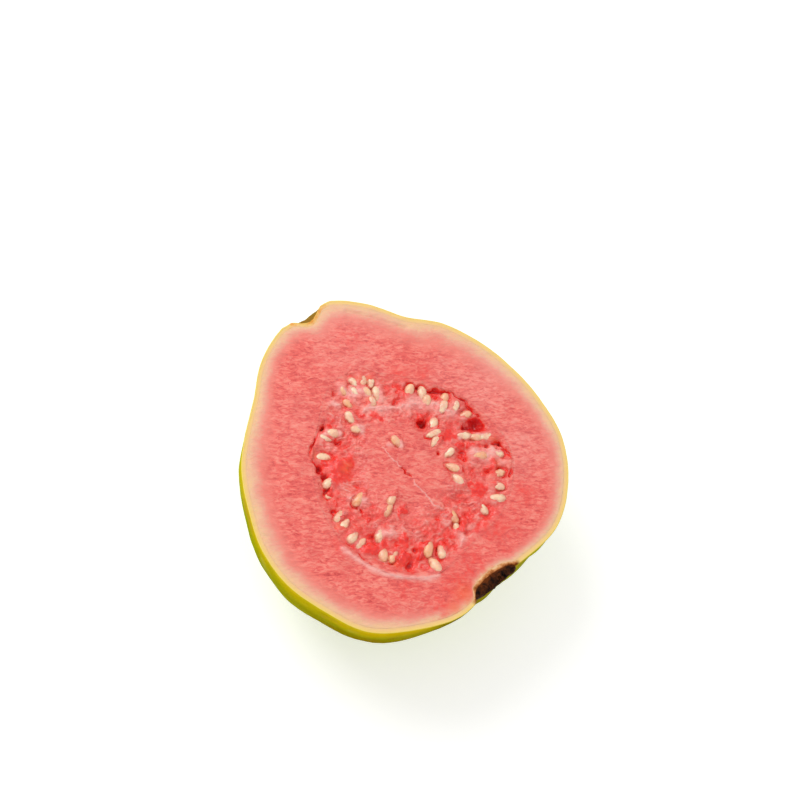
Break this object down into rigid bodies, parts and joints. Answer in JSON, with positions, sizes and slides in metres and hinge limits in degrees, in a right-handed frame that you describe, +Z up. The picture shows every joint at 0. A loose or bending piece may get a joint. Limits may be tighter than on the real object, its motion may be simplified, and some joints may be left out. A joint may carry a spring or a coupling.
{
  "type": "guava half",
  "caption": "Ripe pink guava cut in half from stem to blossom end, lying on its rounded green back with the seeded cut face up.",
  "frame": {"origin": "on the surface that the half rests on, under the middle of the cut face", "axes": "+Z up, square to the cut face; +Y towards the stem end, so the dried calyx is at -Y; +X to the right of the cut face seen from above with the stem end away"},
  "size_m": [0.0764, 0.0795, 0.0383],
  "materials": {
    "rind": "satin",
    "flesh": "satin",
    "seed_pulp": "satin",
    "seeds": "satin",
    "calyx": "matte"
  },
  "bodies": {
    "root": {"rind": "rind", "flesh": "flesh", "seed_pulp": "seed_pulp", "calyx": "calyx"}
  },
  "joints": []
}
